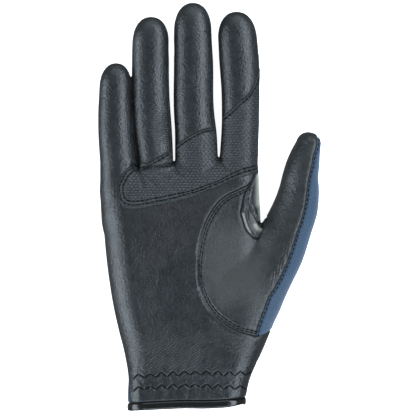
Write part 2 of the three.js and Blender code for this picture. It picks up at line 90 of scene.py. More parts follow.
# The little, ring, middle and index finger: root, length, width and depth, then rows of
# along, shift, wide, deep
FINGERS = [
    (-0.456, 0.622, 0.867, 0.892, np.array([
        (0.0, 0.05, 1.06, 1.09), (0.12, 0.015, 1.04, 1.05), (0.34, -0.035, 1.0, 1.0),
        (0.5, -0.045, 0.98, 0.97), (0.67, -0.045, 0.935, 0.94), (1.0, -0.02, 0.87, 0.88)])),
    (-0.215, 0.912, 0.929, 0.973, np.array([
        (0.0, 0.0, 0.95, 1.0), (0.23, -0.075, 1.02, 0.98), (0.45, -0.125, 1.0, 0.96),
        (0.78, -0.13, 0.98, 0.93), (1.0, -0.115, 0.94, 0.87)])),
    (0.046, 1.0, 1.0, 1.0, np.array([
        (0.0, -0.022, 1.07, 1.0), (0.2, -0.045, 1.03, 0.98), (0.31, -0.084, 1.0, 0.97),
        (0.62, -0.096, 0.975, 0.94), (0.82, -0.115, 0.935, 0.91), (1.0, -0.11, 0.89, 0.86)])),
    (0.312, 0.944, 0.982, 1.0, np.array([
        (0.0, -0.04, 0.964, 1.0), (0.25, 0.003, 0.935, 0.98), (0.45, 0.003, 0.945, 0.97),
        (0.7, -0.03, 1.01, 0.94), (0.82, -0.065, 0.99, 0.92), (1.0, -0.09, 0.94, 0.86)])),
]
# x, y, wide, deep, height of the middle
THUMB = np.array([
    (0.250, -0.415, 0.60, 0.55, 0.37),
    (0.292, -0.349, 0.73, 0.74, 0.42),
    (0.361, -0.219, 0.885, 0.92, 0.46),
    (0.470, -0.090, 0.80, 1.00, 0.50),
    (0.546, 0.008, 0.765, 0.98, 0.50),
    (0.617, 0.106, 0.66, 0.90, 0.52),
    (0.655, 0.171, 0.62, 0.84, 0.54),
    (0.676, 0.236, 0.56, 0.78, 0.55),
    (0.687, 0.301, 0.49, 0.72, 0.57),
    (0.708, 0.366, 0.43, 0.66, 0.58),
    (0.735, 0.430, 0.335, 0.52, 0.60),
])


def follow(keys, values, place):
    """A smooth curve through a table's column, level beyond its ends."""
    slope = np.gradient(values, keys)
    i = np.clip(np.searchsorted(keys, place, side="right") - 1, 0, len(keys) - 2)
    span = keys[i + 1] - keys[i]
    t = np.clip((place - keys[i]) / span, 0, 1)
    a, b = values[i], values[i + 1]
    m, n = slope[i] * span, slope[i + 1] * span
    return (a * (1 + 2 * t) * (1 - t) ** 2 + m * t * (1 - t) ** 2
            + b * t * t * (3 - 2 * t) - n * t * t * (1 - t))


def step(low, high, value):
    t = np.clip((value - low) / (high - low), 0, 1)
    return t * t * (3 - 2 * t)


def unit(vectors):
    return vectors / np.maximum(np.linalg.norm(vectors, axis=1), 1e-6)[:, None]


def smooth_min(a, b, blend):
    h = np.maximum(blend - np.abs(a - b), 0) / blend
    return np.minimum(a, b) - h * h * blend / 4


def rounded(dx, dz, wide, deep, power, past=0.0, reach=1.0, tip=2.0):
    """About the distance to a rounded section, which also closes over its end."""
    ax, az = np.abs(dx) / wide, np.abs(dz) / deep
    rho = (ax ** power + az ** power + 1e-7) ** (1 / power)
    gx = (ax / rho) ** (power - 1) / wide
    gz = (az / rho) ** (power - 1) / deep
    end = past / reach
    q = (rho ** tip + end ** tip + 1e-9) ** (1 / tip)
    side, over = (rho / q) ** (tip - 1), (end / q) ** (tip - 1)
    grad = np.sqrt((side * gx) ** 2 + (side * gz) ** 2 + (over / reach) ** 2)
    return (q - 1) / np.maximum(grad, 1e-4)


def finger_middle(y):
    reach = np.maximum(0, (y - CROTCH_Y) / LONGEST_FINGER)
    return (FINGER_DEPTH - REST_FLAT) / 2 + FINGER_CURL * reach ** 2


PALM_CORNER = 1.2  # how round the palm's two long edges are, share of its half depth
PALM_POWER = 2.15  # of the palm's section, where 2 is an ellipse and more is squarer
BEVEL_POWER = 1.6  # of its flatter upper side towards the little finger
PALM_END = 14.0  # how long the palm's form takes to close at the crotches


def palm_section(y):
    along = (y - CUFF_Y) / PALM_LENGTH
    left = follow(PALM[:, 0], PALM[:, 1], along) * PALM_WIDTH
    right = follow(PALM[:, 0], PALM[:, 2], along) * PALM_WIDTH
    half = follow(PALM[:, 0], PALM[:, 3], along) * PALM_DEPTH / 2
    turn = step(0.8, 1.0, along)
    middle = (half - REST_FLAT) * (1 - turn) + finger_middle(CROTCH_Y) * turn
    return left, right, half, middle


def palm_field(x, y, z):
    near_cuff = np.clip(1 - (y - CUFF_Y) / (0.2 * PALM_LENGTH), 0, 1)
    near_crotch = np.clip(((y - CUFF_Y) / PALM_LENGTH - 0.5) / 0.5, 0, 1)
    at = y + near_cuff * CUFF_DROP * -np.sign(x) * (x / (CUFF_WIDTH / 2)) ** 2
    at = at - near_crotch * CROTCH_RISE * x
    left, right, half, middle = palm_section(at)
    corner = PALM_CORNER * half
    from_side = np.maximum(np.abs(x - (left + right) / 2) - ((right - left) / 2 - corner), 0)
    past = np.maximum(0, at - (CROTCH_Y - PALM_END))
    full = rounded(from_side, z - middle, corner, half, PALM_POWER, past, PALM_END)
    bevel = rounded(from_side, z - middle, corner, half, BEVEL_POWER, past, PALM_END)
    share = step(0, 3, z - middle) * step(0, -10, x) * step(CUFF_Y + 8, CUFF_Y + 42, at)
    return full + (bevel - full) * share


FINGER_POWER = 2.05  # of a finger's section
TIP_POWER = 2.3  # of its tip, seen from above
TIP_REACH = 0.68  # the tip's length, share of the finger's width
ROOT_BACK = 30.0  # how far a finger's form runs back into the palm
ROOT_SLIM = 0.12  # how much slimmer it is there
ROOT_LENGTH = 17.0  # over what length it gets so


def finger_field(finger, x, y, z):
    root, length, width, depth, rows = finger
    length, width, depth = length * LONGEST_FINGER, width * FINGER_WIDTH, depth * FINGER_DEPTH
    along = (y - CROTCH_Y) / length
    end = CROTCH_Y - 4.0 + CROTCH_RISE * root * PALM_WIDTH
    slim = 1 - ROOT_SLIM * step(end, end - ROOT_LENGTH, y)
    wide = follow(rows[:, 0], rows[:, 2], along) * width / 2 * slim
    deep = follow(rows[:, 0], rows[:, 3], along) * depth / 2 * slim
    centre = root * PALM_WIDTH + follow(rows[:, 0], rows[:, 1], along) * width
    reach = TIP_REACH * width
    past = (np.maximum(0, y - (CROTCH_Y + length - reach))
            + np.maximum(0, CROTCH_Y - ROOT_BACK - y))
    return rounded(x - centre, z - finger_middle(y), wide, deep, FINGER_POWER, past, reach,
                   TIP_POWER)


THUMB_STEPS = 90
THUMB_POWER = 2.1
THUMB_START = 14.0  # how long its form takes to close at the wrist's side
THUMB_LEAN = 0.3  # how far the thumb's crest leans to the outer side, share of its height
THUMB_SLIM = 0.15  # how much narrower it gets by the lean
thumb_t = np.linspace(0, 1, THUMB_STEPS)
thumb_keys = np.concatenate([[0], np.cumsum(np.hypot(
    np.diff(THUMB[:, 0]) * PALM_WIDTH, np.diff(THUMB[:, 1]) * PALM_LENGTH))])
thumb_keys /= thumb_keys[-1]
thumb_x = follow(thumb_keys, THUMB[:, 0], thumb_t) * PALM_WIDTH
thumb_y = follow(thumb_keys, THUMB[:, 1], thumb_t) * PALM_LENGTH
thumb_tx, thumb_ty = np.gradient(thumb_x), np.gradient(thumb_y)
thumb_speed = np.hypot(thumb_tx, thumb_ty)
thumb_tx, thumb_ty = thumb_tx / thumb_speed, thumb_ty / thumb_speed


def thumb_place(x, y):
    """Where points lie along the thumb's line, how far to its side, and how far past its ends."""
    best = np.full(x.shape, 1e18)
    nearest = np.zeros(x.shape, dtype=int)
    for i in range(THUMB_STEPS):
        d = (x - thumb_x[i]) ** 2 + (y - thumb_y[i]) ** 2
        closer = d < best
        best[closer] = d[closer]
        nearest[closer] = i
    dx, dy = x - thumb_x[nearest], y - thumb_y[nearest]
    tx, ty = thumb_tx[nearest], thumb_ty[nearest]
    onward = dx * tx + dy * ty
    aside = dx * ty - dy * tx
    t = np.clip(thumb_t[nearest] + onward / (thumb_speed[nearest] * (THUMB_STEPS - 1)), 0, 1)
    past = np.where(nearest == THUMB_STEPS - 1, np.maximum(onward, 0), 0)
    past = past + np.where(nearest == 0, np.maximum(-onward, 0), 0)
    return t, aside, past


def thumb_field(x, y, z):
    t, aside, past = thumb_place(x, y)
    wide = follow(thumb_keys, THUMB[:, 2], t) * THUMB_WIDTH / 2
    deep = follow(thumb_keys, THUMB[:, 3], t) * THUMB_DEPTH / 2
    height = follow(thumb_keys, THUMB[:, 4], t) * THUMB_DEPTH
    reach = np.where(t < 0.5, THUMB_START, wide)
    lean = THUMB_LEAN * step(0.25, 0.5, t)
    return rounded(aside - lean * (z - height), z - height, wide * (1 - THUMB_SLIM * lean), deep,
                   THUMB_POWER, past, reach)


FINGER_BLENDS = (0.1, 1.4, 0.1, 0.1)  # how softly each finger meets those before it
PALM_BLEND = 2.6
FLOOR_BLEND = 1.6


def glove_field(x, y, z):
    """Below 0 inside the glove, about the distance in millimetres outside it."""
    palm = palm_field(x, y, z)
    fingers = np.full(x.shape, FAR)
    there = y > CROTCH_Y - 40
    for finger, blend in zip(FINGERS, FINGER_BLENDS):
        one = finger_field(finger, x[there], y[there], z[there])
        fingers[there] = smooth_min(fingers[there], one, blend)
    thumb = np.full(x.shape, FAR)
    there = (x > -8) & (y > -80) & (y < 80)
    thumb[there] = thumb_field(x[there], y[there], z[there])
    body = smooth_min(palm, fingers, PALM_BLEND)
    blend = 9.0 - 7.4 * step(-30, 8, y)  # soft at the ball, crisp at the web
    body = smooth_min(body, thumb, blend)
    return -smooth_min(-body, z, FLOOR_BLEND)


# Meshing the form: one vertex in each cell that the surface crosses, then moved onto it

def slope_of(x, y, z, small=0.05):
    gx = glove_field(x + small, y, z) - glove_field(x - small, y, z)
    gy = glove_field(x, y + small, z) - glove_field(x, y - small, z)
    gz = glove_field(x, y, z + small) - glove_field(x, y, z - small)
    return np.stack([gx, gy, gz], axis=1) / (2 * small)


FORM_LOW = np.array([-56.0, CUFF_Y - 6.0, -2.0])
FORM_HIGH = np.array([77.0, 143.0, 31.0])


def mesh_form():
    counts = np.ceil((FORM_HIGH - FORM_LOW) / CELL).astype(int) + 1
    axes = [FORM_LOW[a] + CELL * np.arange(counts[a]) for a in range(3)]
    x, y, z = np.meshgrid(*axes, indexing="ij")
    value = glove_field(x.ravel(), y.ravel(), z.ravel()).reshape(x.shape)
    inside = value < 0
    cells = tuple(c - 1 for c in counts)
    corners = list(np.ndindex(2, 2, 2))
    total = np.zeros(cells, dtype=np.int8)
    for corner in corners:
        total += inside[tuple(slice(c, c + size) for c, size in zip(corner, cells))]
    active = np.argwhere((total > 0) & (total < len(corners)))
    number = np.full(cells, -1, dtype=np.int64)
    number[tuple(active.T)] = np.arange(len(active))
    place = np.zeros((len(active), 3))
    count = np.zeros((len(active), 1))
    for corner in corners:
        for axis, way in enumerate(np.eye(3, dtype=int)):
            if corner[axis]:
                continue
            a = value[tuple((active + corner).T)][:, None]
            b = value[tuple((active + corner + way).T)][:, None]
            crossing = (a < 0) != (b < 0)
            t = np.where(crossing, a / np.where(a == b, 1, a - b), 0)
            place += (corner + t * way) * crossing
            count += crossing
    vertices = FORM_LOW + (active + place / count) * CELL
    quads = []
    for axis in range(3):
        u, v = (axis + 1) % 3, (axis + 2) % 3
        edges = np.argwhere(np.diff(inside, axis=axis))
        edges = edges[(edges[:, u] > 0) & (edges[:, u] < cells[u])
                      & (edges[:, v] > 0) & (edges[:, v] < cells[v])]
        ring = []
        for du, dv in ((1, 1), (0, 1), (0, 0), (1, 0)):
            cell = edges.copy()
            cell[:, u] -= du
            cell[:, v] -= dv
            ring.append(number[tuple(cell.T)])
        quad = np.stack(ring, axis=1)
        outward = inside[tuple(edges.T)]
        quad[~outward] = quad[~outward][:, ::-1]
        quads.append(quad[(quad >= 0).all(axis=1)])
    quads = np.concatenate(quads)
    for _ in range(4):
        vertices = onto_form(even_out(vertices, quads))
    return vertices, np.concatenate([quads[:, [0, 1, 2]], quads[:, [0, 2, 3]]])


def onto_form(vertices):
    for _ in range(2):
        value, slope = glove_field(*vertices.T), slope_of(*vertices.T)
        length = np.maximum((slope ** 2).sum(axis=1), 0.04)
        move = slope * (value / length)[:, None]
        size = np.linalg.norm(move, axis=1)
        vertices = vertices - move * np.minimum(1, 0.4 / np.maximum(size, 1e-9))[:, None]
    return vertices


def even_out(vertices, faces, share=0.6):
    total = np.zeros_like(vertices)
    count = np.zeros(len(vertices))
    n = faces.shape[1]
    for i in range(n):
        a, b = faces[:, i], faces[:, (i + 1) % n]
        for one, other in ((a, b), (b, a)):
            for axis in range(3):
                total[:, axis] += np.bincount(one, vertices[other, axis], len(vertices))
            count += np.bincount(one, minlength=len(vertices))
    return vertices + share * (total / np.maximum(count, 1)[:, None] - vertices)


# Outlines of the pattern, seen from above the palm

def run_length(line):
    """How far along a line each of its points is."""
    return np.concatenate([[0], np.cumsum(np.linalg.norm(np.diff(line, axis=0), axis=1))])


PIXEL = 0.56  # millimetres to a pixel of the photo, which makes the knuckles about 90 mm wide
ORIGIN_COLUMN, ORIGIN_ROW = 190, 250  # the photo's pixel where the frame's X and Y are 0


def from_photo(pixels):
    """Places given as columns and rows of the photo, in millimetres, to a tenth."""
    columns, rows = np.array(pixels, dtype=float).T
    return np.round(PIXEL * np.stack([columns - ORIGIN_COLUMN, ORIGIN_ROW - rows], axis=1), 1)


def smooth_line(p, steps=5):
    """An open line through a few points, rounded between them."""
    keys = run_length(p)
    place = np.concatenate([np.linspace(keys[i], keys[i + 1], steps, endpoint=False)
                            for i in range(len(p) - 1)] + [[keys[-1]]])
    return np.stack([follow(keys, p[:, a], place) for a in range(p.shape[1])], axis=1)


THUMB_ARC = from_photo([
    (256.5, 336), (249, 334), (234.6, 329.3), (225.7, 324), (216, 317), (207, 306),
    (200.7, 292.7), (197, 279.3), (196.7, 263.2), (199, 245.4), (203.4, 227.5), (210.5, 212.3),
    (218, 202), (227, 195), (238, 189.6), (251, 184),
])
WEB_EDGE = from_photo([
    (251, 184), (244.5, 194.5), (242, 206), (240.5, 212), (243, 221.5), (246, 230),
    (250.6, 235), (256, 238.5), (262, 230.5),
])
THUMB_AIR = from_photo([
    (262, 230.5), (264.3, 219), (274, 189), (284, 157), (292, 138), (303, 124), (318, 124),
])
THUMB_SEAM = from_photo([
    (318, 130), (317.3, 138), (316, 147), (313, 156), (311.3, 166), (308.6, 177), (306.8, 188),
    (305.5, 200), (303.7, 209), (300.5, 221), (297, 231), (290.9, 250.7), (284.6, 267.7),
    (278.4, 281), (273.9, 289), (269.5, 295.4), (266.8, 302.5), (262.3, 315), (257.6, 328),
    (256.5, 336),
])
THUMB_UNDER = from_photo([
    (256.5, 336), (258, 301), (261, 260), (262, 230.5),
])
THUMB_HEM = from_photo([
    (256.5, 336), (262.6, 334.5), (271.8, 329.2), (276.4, 321), (290, 300),
])
PATCH_LOWER = from_photo([
    (133, 164.5), (127.5, 168), (122.5, 174.5), (119.8, 181), (118.8, 187), (119, 194),
    (119.7, 200), (121.7, 205), (125.5, 208.2), (132, 209.2), (141, 208.7), (156, 205.6),
    (171, 202.6), (185, 199.3), (196, 195.7), (206, 191), (218, 187), (228, 182), (239, 178.4),
    (250, 174.8), (256, 173.2), (264, 171),
])
PATCH_UPPER = from_photo([
    (264, 58), (259, 68.8), (256.5, 77.2), (253, 86.3), (247.4, 95.4), (239.6, 101.8),
    (232, 109.5), (225, 115.8), (219, 120.5), (217, 126.5), (212, 127.6), (204, 129.4),
    (193, 134.5), (181, 142), (175, 147), (171.5, 150), (165, 153.5), (158.5, 157.7),
    (150.5, 162.2), (144.5, 166.8), (138, 168), (133, 164.5),
])
WEB_OUTER = from_photo([
    (262, 230.5), (266, 222), (266, 168), (257, 173.5), (251, 184),
])


def closed(*lines):
    return np.concatenate([line[:-1] for line in lines])


arc, web_edge, air = smooth_line(THUMB_ARC), smooth_line(WEB_EDGE), smooth_line(THUMB_AIR)
thumb_seam, under = smooth_line(THUMB_SEAM), smooth_line(THUMB_UNDER)
hem = smooth_line(THUMB_HEM)
thumb_leather = closed(arc, web_edge, air, thumb_seam)
thumb_fabric = closed(under, air, np.array([air[-1], (95.0, 75.0), (95.0, -28.0), hem[-1]]),
                      hem[::-1])
web = closed(web_edge, WEB_OUTER)
patch = closed(smooth_line(PATCH_LOWER), np.array([PATCH_LOWER[-1], PATCH_UPPER[0]]),
               smooth_line(PATCH_UPPER))


def to_line(x, y, line, closing=False):
    """Distance from points to a line."""
    ends = np.roll(line, -1, axis=0) if closing else line[1:]
    starts = line if closing else line[:-1]
    best = np.full(x.shape, 1e18)
    for (ax, ay), (bx, by) in zip(starts[:, :2], ends[:, :2]):
        ux, uy = bx - ax, by - ay
        size = max(ux * ux + uy * uy, 1e-12)
        t = np.clip(((x - ax) * ux + (y - ay) * uy) / size, 0, 1)
        np.minimum(best, (x - ax - t * ux) ** 2 + (y - ay - t * uy) ** 2, out=best)
    return np.sqrt(best)


def outside(x, y, outline):
    """Distance to an outline, below 0 inside it."""
    distance = to_line(x, y, outline, closing=True)
    inside = np.zeros(x.shape, dtype=bool)
    for (ax, ay), (bx, by) in zip(outline, np.roll(outline, -1, axis=0)):
        if ay == by:
            continue
        inside ^= ((ay > y) != (by > y)) & (x < (bx - ax) * (y - ay) / (by - ay) + ax)
    return np.where(inside, -distance, distance)


def close_to(x, y, line, margin):
    """Which points lie within a margin of the box round a line."""
    low, high = line.min(axis=0) - margin, line.max(axis=0) + margin
    return (x > low[0]) & (x < high[0]) & (y > low[1]) & (y < high[1])


# The seams' heights

# along the palm, height of the thumb panel's outer seam
THUMB_HEIGHTS = np.array([(-0.5, 0.31), (-0.15, 0.33), (0.05, 0.42), (0.25, 0.53), (0.52, 0.6)])
# along the finger, half width
FOURCHETTE = np.array([(-0.16, -0.02), (-0.03, 0.5), (0.3, 0.46), (0.6, 0.32), (0.88, -0.02)])
FOURCHETTE_WIDTH = 7.0
LITTLE_SHARE = 0.9  # how wide the little finger's fourchette is beside the others
SPLIT_X = -0.1 * PALM_WIDTH  # where the two edges of the hand share the seam's height
THUMB_SEAM_DROP = 4.0  # how much lower the seam lies along the thumb's upper part


def palm_seam(x, y):
    along = (y - CUFF_Y) / PALM_LENGTH
    side = np.where(x < SPLIT_X, follow(PALM[:, 0], PALM[:, 4], along),
                    follow(PALM[:, 0], PALM[:, 5], along))
    over = step(0.9, 1.0, along)
    return side * PALM_DEPTH * (1 - over) + finger_middle(y) * over


def thumb_edge(y):
    level = follow(THUMB_HEIGHTS[:, 0] * PALM_LENGTH, THUMB_HEIGHTS[:, 1] * THUMB_DEPTH, y)
    return level - THUMB_SEAM_DROP * step(-15, 15, y)


def fourchette_region(i):
    one, other = FINGERS[i], FINGERS[i + 1]
    shorter = min(one[1], other[1]) * LONGEST_FINGER
    left, right = one[0] * PALM_WIDTH, other[0] * PALM_WIDTH

    def region(x, y, z):
        along = (y - CROTCH_Y) / shorter
        half = np.interp(along, FOURCHETTE[:, 0], FOURCHETTE[:, 1], left=-1, right=-1)
        half = half * FOURCHETTE_WIDTH * (LITTLE_SHARE if i == 0 else 1)
        across = np.maximum(left - x, x - right)
        return np.maximum(np.abs(z - finger_middle(y)) - half, across)
    return region


REGIONS = [
    ("fourchette_little_ring", fourchette_region(0)),
    ("fourchette_ring_middle", fourchette_region(1)),
    ("fourchette_middle_index", fourchette_region(2)),
    ("thumb_gusset", lambda x, y, z: np.maximum(outside(x, y, web), palm_seam(x, y) - z)),
    ("thumb_panel", lambda x, y, z: np.maximum(outside(x, y, thumb_leather), thumb_edge(y) - z)),
    ("thumb_back", lambda x, y, z: outside(x, y, thumb_fabric)),
    ("palm_panel", lambda x, y, z: palm_seam(x, y) - z),
]
PATCH_LOW = 12.6  # its lowest edge on the palm
PATCH_SIDE = 34.0  # from here on it comes down the index finger's side
PATCH_DROP = 3.4


def patch_region(x, y, z):
    low = PATCH_LOW - PATCH_DROP * step(PATCH_SIDE - 3, PATCH_SIDE + 3, x)
    return np.maximum(outside(x, y, patch), low - z)


def cuff_edge(x):
    return CUFF_Y + BINDING_HEIGHT + CUFF_DROP * np.sign(x) * (x / (CUFF_WIDTH / 2)) ** 2


# Cutting the skin along the seams

SNAP = 0.12 * CELL  # a vertex this near to a cut counts as on it


def sides_of(faces):
    return np.concatenate([faces[:, [0, 1]], faces[:, [1, 2]], faces[:, [2, 0]]])


def cut(vertices, faces, value):
    """Splits triangles where value changes sign. New vertices have the value 0."""
    value = np.where(np.abs(value) < SNAP, 0.0, value)
    side = np.sign(value).astype(int)
    s = side[faces]
    crossed = (s.min(axis=1) < 0) & (s.max(axis=1) > 0)
    work = faces[crossed]
    if not len(work):
        return vertices, faces, value
    n = len(vertices)
    edges = sides_of(work)
    splits = side[edges[:, 0]] * side[edges[:, 1]] < 0
    key = edges.min(axis=1) * n + edges.max(axis=1)
    unique, inverse = np.unique(key[splits], return_inverse=True)
    a, b = unique // n, unique % n
    t = (value[a] / (value[a] - value[b]))[:, None]
    made = vertices[a] * (1 - t) + vertices[b] * t
    middle = np.full(len(edges), -1, dtype=np.int64)
    middle[splits] = n + inverse
    middle = middle.reshape(3, len(work)).T
    out = [faces[~crossed]]
    number = (middle >= 0).sum(axis=1)
    for k in range(3):
        v0, v1, v2 = np.roll(work, -k, axis=1).T
        m01, _, m20 = np.roll(middle, -k, axis=1).T
        two = (number == 2) & (m01 >= 0) & (m20 >= 0)
        one = (number == 1) & (m01 >= 0)
        for chosen, corners in ((two, (v0, m01, m20)), (two, (m01, v1, v2)), (two, (m01, v2, m20)),
                                (one, (v0, m01, v2)), (one, (m01, v1, v2))):
            out.append(np.stack(corners, axis=1)[chosen])
    return (np.concatenate([vertices, made]), np.concatenate(out),
            np.concatenate([value, np.zeros(len(made))]))


def take(vertices, faces, region):
    """Cuts a region out: the vertices, the faces inside it and the faces left."""
    used = np.unique(faces)
    value = np.full(len(vertices), 9.0)
    value[used] = region(*vertices[used].T)
    vertices, faces, value = cut(vertices, faces, value)
    inside = value[faces].mean(axis=1) < 0
    return vertices, faces[inside], faces[~inside]


def compact(vertices, faces):
    used, faces = np.unique(faces, return_inverse=True)
    return vertices[used], faces.reshape(-1, 3)


def rim(faces):
    """A mesh's border edges, in its faces' direction."""
    edges = sides_of(faces)
    key = edges.min(axis=1) * (faces.max() + 1) + edges.max(axis=1)
    _, index, count = np.unique(key, return_index=True, return_counts=True)
    return edges[index[count == 1]]


def near(points, places, farthest=6.0):
    """Distance from each of some points to the nearest of some places, at most farthest."""
    tree = KDTree(len(places))
    for i, p in enumerate(places):
        tree.insert(p, i)
    tree.balance()
    low, high = places.min(axis=0) - farthest, places.max(axis=0) + farthest
    close = ((points > low) & (points < high)).all(axis=1)
    result = np.full(len(points), farthest)
    result[close] = [tree.find(p)[2] for p in points[close]]
    return np.minimum(result, farthest)


def border_places(vertices, faces, steps=5):
    edges = rim(faces)
    a, b = vertices[edges[:, 0]], vertices[edges[:, 1]]
    return np.concatenate([a + (b - a) * t for t in np.linspace(0, 1, steps, endpoint=False)])


def normals_of(vertices):
    return unit(slope_of(*vertices.T))


# Relief: seams, folds and gathers

def waves(seed, longest, shortest, count=14):
    """A soft random relief between -1 and 1, from waves of the given lengths."""
    rng = np.random.default_rng(seed)
    length = np.exp(rng.uniform(math.log(shortest), math.log(longest), count))
    k = unit(rng.normal(size=(count, 3))) * (TAU / length)[:, None]
    phase = rng.uniform(0, TAU, count)
    weight = length ** 0.7
    weight /= weight.sum() * 0.5

    def relief(p):
        total = np.zeros(len(p))
        for i in range(count):
            total += weight[i] * np.sin(p @ k[i] + phase[i])
        return np.clip(total, -1, 1)
    return relief


def bell(*parts):
    """1 where every part is 0, and next to nothing where one is past 2."""
    return np.exp(-sum(part ** 2 for part in parts))


broad = waves(3, 34, 12)
soft = waves(5, 12, 5)
BROAD_LIFT = 0.15
SOFT_LIFT = 0.035

# Folds seen in the leather. Each is a line, how deep it is, and how wide.
FOLDS = [
    (from_photo([
      (144, 168.2), (149, 167.3), (153, 166.8), (160, 166.4), (167, 165.6), (173, 164.2),
  ]), 1.5, 0.8),
    (from_photo([(133, 165), (137, 170), (141, 178), (143, 187)]), 0.5, 1.1),
    (from_photo([(134, 166), (141, 172), (149, 178), (156, 186)]), 0.45, 1.2),
    (from_photo([(135, 166.5), (145, 170), (157, 172.5), (168, 178)]), 0.45, 1.2),
    (from_photo([(219, 158), (222, 164), (228, 170), (237, 174)]), 0.5, 1.2),
    (from_photo([(219, 159), (214, 166), (206, 171)]), 0.4, 1.2),
    (from_photo([(174, 163), (176, 169), (181, 175)]), 0.5, 1.0),
    (from_photo([(250.2, 207), (252.4, 212.5), (255.4, 217.5), (258.6, 222.6), (262, 227.6)]), 1.0, 0.75),
    (from_photo([
      (250.5, 184), (248.6, 192), (247.2, 203), (247, 212), (247.8, 220), (250, 227), (254, 233),
  ]), 0.5, 0.7),
    (from_photo([(283, 292), (279, 286), (275, 279)]), 0.3, 1.8),
    (from_photo([(258, 243), (266, 250), (275, 256)]), 0.14, 2.6),
]
FOLDS = [(smooth_line(line), depth, wide) for line, depth, wide in FOLDS]

HOLLOW_DEPTH = 1.6  # of the palm's middle
GATHER_DEPTH = 0.1  # of the folds that the cuff's elastic makes
GATHER_PITCH = 6.3


def relief(p, top):
    """How far the leather or fabric stands off the smooth form."""
    x, y, z = p.T
    lift = BROAD_LIFT * broad(p) + SOFT_LIFT * soft(p)
    for line, depth, wide in FOLDS:
        close = top & close_to(x, y, line, 5)
        d = to_line(x[close], y[close], line)
        lift[close] += depth * (0.3 * bell((d - 2.2 * wide) / (1.3 * wide)) - bell(d / wide))
    lift -= top * HOLLOW_DEPTH * bell((x + 6) / 24, (y + 20) / 40)
    gather = step(CUFF_Y + 34, CUFF_Y + 20, y) * step(CUFF_Y + 2, CUFF_Y + 7, y)
    across = x + 1.6 * np.sin(y / 4.0) + 1.5 * soft(p)
    lift += GATHER_DEPTH * gather * np.sin(TAU * across / GATHER_PITCH)
    return lift


SEAM_DEPTH = 0.75
SEAM_REACH = 1.15
SEAM_ROLL = 0.12


def rolled(d):
    """The rolled edge of a panel at a seam, d from the seam."""
    return (-SEAM_DEPTH * (1 - np.minimum(d / SEAM_REACH, 1)) ** 2
            + SEAM_ROLL * bell((d - 2.2) / 1.2))


# Materials

class Look:
    """A material in the making. Values are plain, or the outputs of other nodes."""

    def __init__(self, name):
        self.material = bpy.data.materials.new(name)
        self.material.use_nodes = True
        self.tree = self.material.node_tree
        self.shader = self.tree.nodes["Principled BSDF"]

    def put(self, node, values):
        for name, value in values.items():
            socket = node.inputs[name]
            if isinstance(value, bpy.types.NodeSocket):
                self.tree.links.new(value, socket)
            else:
                socket.default_value = (*value, 1) if socket.type == "RGBA" else value

    def node(self, kind, values, **settings):
        node = self.tree.nodes.new("ShaderNode" + kind)
        for name, value in settings.items():
            setattr(node, name, value)
        self.put(node, values)
        return node.outputs

    def millimetres(self):
        place = self.node("TexCoord", {})["Object"]
        return self.node("Mapping", {"Vector": place, "Scale": (1 / MM,) * 3})["Vector"]

    def pattern(self):
        """Places across and along the piece's pattern, in repeats."""
        place = self.node("UVMap", {}, uv_map="pattern")["UV"]
        return self.node("SeparateXYZ", {"Vector": place})[:2]

    def mark(self, name):
        return self.node("Attribute", {}, attribute_name=name)["Fac"]

    def noise(self, place, scale, detail=2.0, rough=0.5):
        return self.node("TexNoise", {"Vector": place, "Scale": scale, "Detail": detail,
                                      "Roughness": rough})["Fac"]

    def math(self, kind, a, b=0.0, c=0.0):
        return self.node("Math", {0: a, 1: b, 2: c}, operation=kind)[0]

    def level(self, value, low, high, to_low, to_high):
        return self.node("MapRange", {"Value": value, "From Min": low, "From Max": high,
                                      "To Min": to_low, "To Max": to_high})["Result"]

    def ramp(self, value, low, dark, high, light):
        node = self.tree.nodes.new("ShaderNodeValToRGB")
        for element, place, colour in zip(node.color_ramp.elements, (low, high), (dark, light)):
            element.position = place
            element.color = (*colour, 1)
        self.put(node, {"Fac": value})
        return node.outputs["Color"]

    def mixed(self, factor, a, b):
        return self.node("Mix", {"Factor": factor, "A": a, "B": b}, data_type="RGBA")["Result"]

    def finish(self, values, height=None, depth=0.0):
        """Fills the shader's sockets, with a bump of a depth in millimetres."""
        if height is not None:
            bump = {"Height": height, "Distance": depth * MM, "Strength": 1.0}
            values["Normal"] = self.node("Bump", bump)["Normal"]
        self.put(self.shader, values)
        return self.material


BUMP = 0.25
SEAM_AND_SHADE_BLACK = (0.0015, 0.0018, 0.002)
HOLLOW_BROWN = (0.02, 0.0175, 0.018)
PAINTED_HIGHLIGHT_GREY = (0.66, 0.65, 0.57)
DOT_WEAR_AND_HIGHLIGHT = (0.042, 0.054, 0.058)
FABRIC_SEAM_AND_SHADE = (0.006, 0.012, 0.02)
# where the creases run, the way they lie in degrees, and how close they are
CREASES = [("wrinkle", 4, 0.24), ("thumb_wrinkle", 98, 0.2), ("wrist_wrinkle", -35, 0.25)]


def from_middle(look, value):
    """How far a place lies from the middle of its repeat."""
    inside = look.math("FRACT", value)
    return look.math("ABSOLUTE", look.math("SUBTRACT", inside, 0.5))


def grip_dots(look):
    """Staggered diamond dots on faint ribs, 1 on top of each dot and 0 between the ribs."""
    across, along = look.pattern()
    ribs = from_middle(look, look.math("MULTIPLY", along, 2.0))
    peaks = look.level(ribs, 0.2, 0.42, 0.0, 0.15)
    for shift in (0.0, 0.5):
        wide, long = [from_middle(look, look.math("ADD", part, shift)) for part in (across, along)]
        dot = look.level(look.math("MULTIPLY_ADD", long, 1.7, wide), 0.12, 0.42, 1.0, 0.0)
        peaks = look.math("MAXIMUM", peaks, dot)
    return peaks


